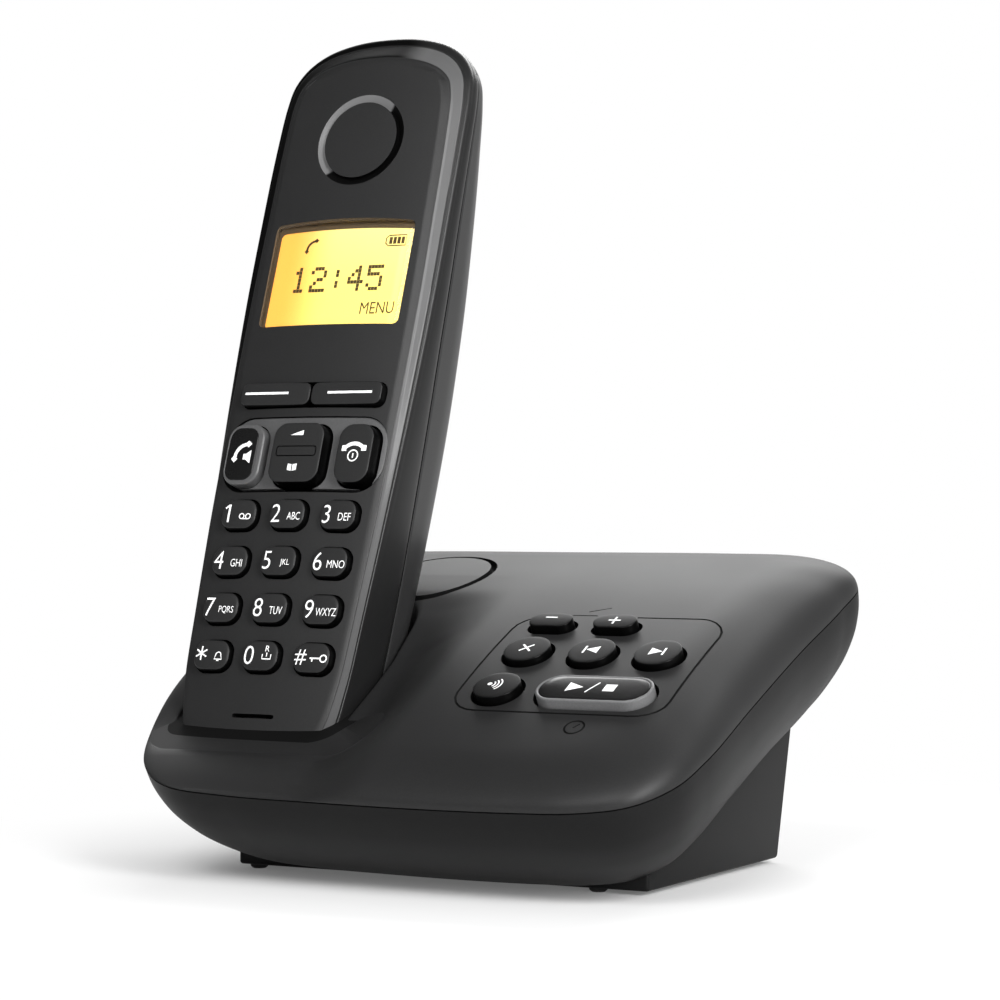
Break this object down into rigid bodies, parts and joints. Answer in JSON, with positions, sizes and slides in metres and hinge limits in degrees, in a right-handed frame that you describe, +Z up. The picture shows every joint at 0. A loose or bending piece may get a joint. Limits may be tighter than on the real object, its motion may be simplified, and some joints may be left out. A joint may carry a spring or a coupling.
{
  "type": "answering machine",
  "caption": "Cordless telephone whose low tilted base holds the answering machine: handset standing in a cradle, soft pillow-shaped body, push buttons on its right side.",
  "frame": {"origin": "on the floor under the middle of the whole seen from above", "axes": "+Z up, the front with the buttons towards -Y, +X to the right of someone facing the front"},
  "size_m": [0.1348, 0.108, 0.1766],
  "materials": {
    "dark_shell": "fine matte texture, dark charcoal",
    "key_black": "satin black",
    "grey_plastic": "satin mid grey",
    "window_clear": "clear, slightly amber",
    "display_yellow": "lit yellow display",
    "rubber": "matte",
    "board_green": "circuit board with green mask",
    "metal": "plated",
    "cell_green": "shrink sleeve",
    "speaker_black": "matte black"
  },
  "bodies": {
    "base": {"base_upper_shell": "dark_shell", "base_lower_shell": "dark_shell", "base_screw_left": "metal", "base_screw_right": "metal", "foot_peg_left": "rubber", "foot_peg_right": "rubber", "foot_pad_left": "rubber", "foot_pad_right": "rubber", "power_socket": "key_black", "line_socket": "key_black", "base_key_mat": "rubber", "base_board": "board_green", "base_speaker": "speaker_black", "charge_pin_left": "metal", "charge_pin_right": "metal"},
    "handset": {"handset_front": "dark_shell", "handset_back": "dark_shell", "call_key_plate": "grey_plastic", "lcd_window": "window_clear", "lcd_module": "display_yellow", "earpiece": "speaker_black", "microphone": "speaker_black", "ringer": "speaker_black", "keypad_mat": "rubber", "handset_board": "board_green", "battery_left": "cell_green", "battery_right": "cell_green", "battery_contact_bottom": "metal", "battery_contact_top": "metal", "charge_pad_left": "metal", "charge_pad_right": "metal"},
    "volume_down_button": {"button_volume_down": "key_black"},
    "volume_up_button": {"button_volume_up": "key_black"},
    "delete_button": {"button_delete": "key_black"},
    "previous_button": {"button_previous": "key_black"},
    "next_button": {"button_next": "key_black"},
    "paging_button": {"button_paging": "key_black"},
    "play_stop_button": {"button_play_stop": "key_black", "button_play_stop_ring": "grey_plastic"},
    "digit_1": {"key_1": "key_black"},
    "digit_2": {"key_2": "key_black"},
    "digit_3": {"key_3": "key_black"},
    "digit_4": {"key_4": "key_black"},
    "digit_5": {"key_5": "key_black"},
    "digit_6": {"key_6": "key_black"},
    "digit_7": {"key_7": "key_black"},
    "digit_8": {"key_8": "key_black"},
    "digit_9": {"key_9": "key_black"},
    "digit_star": {"key_star": "key_black"},
    "digit_0": {"key_0": "key_black"},
    "digit_hash": {"key_hash": "key_black"},
    "left_soft": {"soft_key_left": "key_black"},
    "right_soft": {"soft_key_right": "key_black"},
    "talk": {"talk_key": "key_black", "talk_key_rim": "grey_plastic"},
    "end": {"end_key": "key_black"},
    "nav": {"nav_rocker": "key_black"},
    "door": {"battery_door": "dark_shell"}
  },
  "joints": [
    {"name": "handset_lift", "type": "slide", "parent": "base", "child": "handset", "axis": [0, 0.3322, 0.9432], "range_m": [0, 0.06]},
    {"name": "volume_down_button_press", "type": "slide", "parent": "base", "child": "volume_down_button", "axis": [0, 0.4617, -0.887], "range_m": [0, 0.0006], "stiffness_N_per_m": 400},
    {"name": "volume_up_button_press", "type": "slide", "parent": "base", "child": "volume_up_button", "axis": [0, 0.4617, -0.887], "range_m": [0, 0.0006], "stiffness_N_per_m": 400},
    {"name": "delete_button_press", "type": "slide", "parent": "base", "child": "delete_button", "axis": [0, 0.4617, -0.887], "range_m": [0, 0.0006], "stiffness_N_per_m": 400},
    {"name": "previous_button_press", "type": "slide", "parent": "base", "child": "previous_button", "axis": [0, 0.4617, -0.887], "range_m": [0, 0.0006], "stiffness_N_per_m": 400},
    {"name": "next_button_press", "type": "slide", "parent": "base", "child": "next_button", "axis": [0, 0.4617, -0.887], "range_m": [0, 0.0006], "stiffness_N_per_m": 400},
    {"name": "paging_button_press", "type": "slide", "parent": "base", "child": "paging_button", "axis": [0, 0.4617, -0.887], "range_m": [0, 0.0006], "stiffness_N_per_m": 400},
    {"name": "play_stop_button_press", "type": "slide", "parent": "base", "child": "play_stop_button", "axis": [0, 0.4617, -0.887], "range_m": [0, 0.0006], "stiffness_N_per_m": 400},
    {"name": "digit_1_press", "type": "slide", "parent": "handset", "child": "digit_1", "axis": [0, 0.9432, -0.3322], "range_m": [0, 0.0006], "stiffness_N_per_m": 400},
    {"name": "digit_2_press", "type": "slide", "parent": "handset", "child": "digit_2", "axis": [0, 0.9432, -0.3322], "range_m": [0, 0.0006], "stiffness_N_per_m": 400},
    {"name": "digit_3_press", "type": "slide", "parent": "handset", "child": "digit_3", "axis": [0, 0.9432, -0.3322], "range_m": [0, 0.0006], "stiffness_N_per_m": 400},
    {"name": "digit_4_press", "type": "slide", "parent": "handset", "child": "digit_4", "axis": [0, 0.9432, -0.3322], "range_m": [0, 0.0006], "stiffness_N_per_m": 400},
    {"name": "digit_5_press", "type": "slide", "parent": "handset", "child": "digit_5", "axis": [0, 0.9432, -0.3322], "range_m": [0, 0.0006], "stiffness_N_per_m": 400},
    {"name": "digit_6_press", "type": "slide", "parent": "handset", "child": "digit_6", "axis": [0, 0.9432, -0.3322], "range_m": [0, 0.0006], "stiffness_N_per_m": 400},
    {"name": "digit_7_press", "type": "slide", "parent": "handset", "child": "digit_7", "axis": [0, 0.9432, -0.3322], "range_m": [0, 0.0006], "stiffness_N_per_m": 400},
    {"name": "digit_8_press", "type": "slide", "parent": "handset", "child": "digit_8", "axis": [0, 0.9432, -0.3322], "range_m": [0, 0.0006], "stiffness_N_per_m": 400},
    {"name": "digit_9_press", "type": "slide", "parent": "handset", "child": "digit_9", "axis": [0, 0.9432, -0.3322], "range_m": [0, 0.0006], "stiffness_N_per_m": 400},
    {"name": "digit_star_press", "type": "slide", "parent": "handset", "child": "digit_star", "axis": [0, 0.9432, -0.3322], "range_m": [0, 0.0006], "stiffness_N_per_m": 400},
    {"name": "digit_0_press", "type": "slide", "parent": "handset", "child": "digit_0", "axis": [0, 0.9432, -0.3322], "range_m": [0, 0.0006], "stiffness_N_per_m": 400},
    {"name": "digit_hash_press", "type": "slide", "parent": "handset", "child": "digit_hash", "axis": [0, 0.9432, -0.3322], "range_m": [0, 0.0006], "stiffness_N_per_m": 400},
    {"name": "left_soft_press", "type": "slide", "parent": "handset", "child": "left_soft", "axis": [0, 0.9432, -0.3322], "range_m": [0, 0.0006], "stiffness_N_per_m": 400},
    {"name": "right_soft_press", "type": "slide", "parent": "handset", "child": "right_soft", "axis": [0, 0.9432, -0.3322], "range_m": [0, 0.0006], "stiffness_N_per_m": 400},
    {"name": "talk_press", "type": "slide", "parent": "handset", "child": "talk", "axis": [0, 0.9432, -0.3322], "range_m": [0, 0.0006], "stiffness_N_per_m": 400},
    {"name": "end_press", "type": "slide", "parent": "handset", "child": "end", "axis": [0, 0.9432, -0.3322], "range_m": [0, 0.0006], "stiffness_N_per_m": 400},
    {"name": "nav_rock", "type": "hinge", "parent": "handset", "child": "nav", "pos_m": [-0.03808, -0.00438, 0.08616], "axis": [1, 0, 0], "range_deg": [-3, 3], "stiffness_Nm_per_rad": 0.05},
    {"name": "battery_door_swing", "type": "hinge", "parent": "handset", "child": "door", "pos_m": [-0.03808, 0.00695, 0.05555], "axis": [-1, 0, 0], "range_deg": [0, 30]}
  ]
}
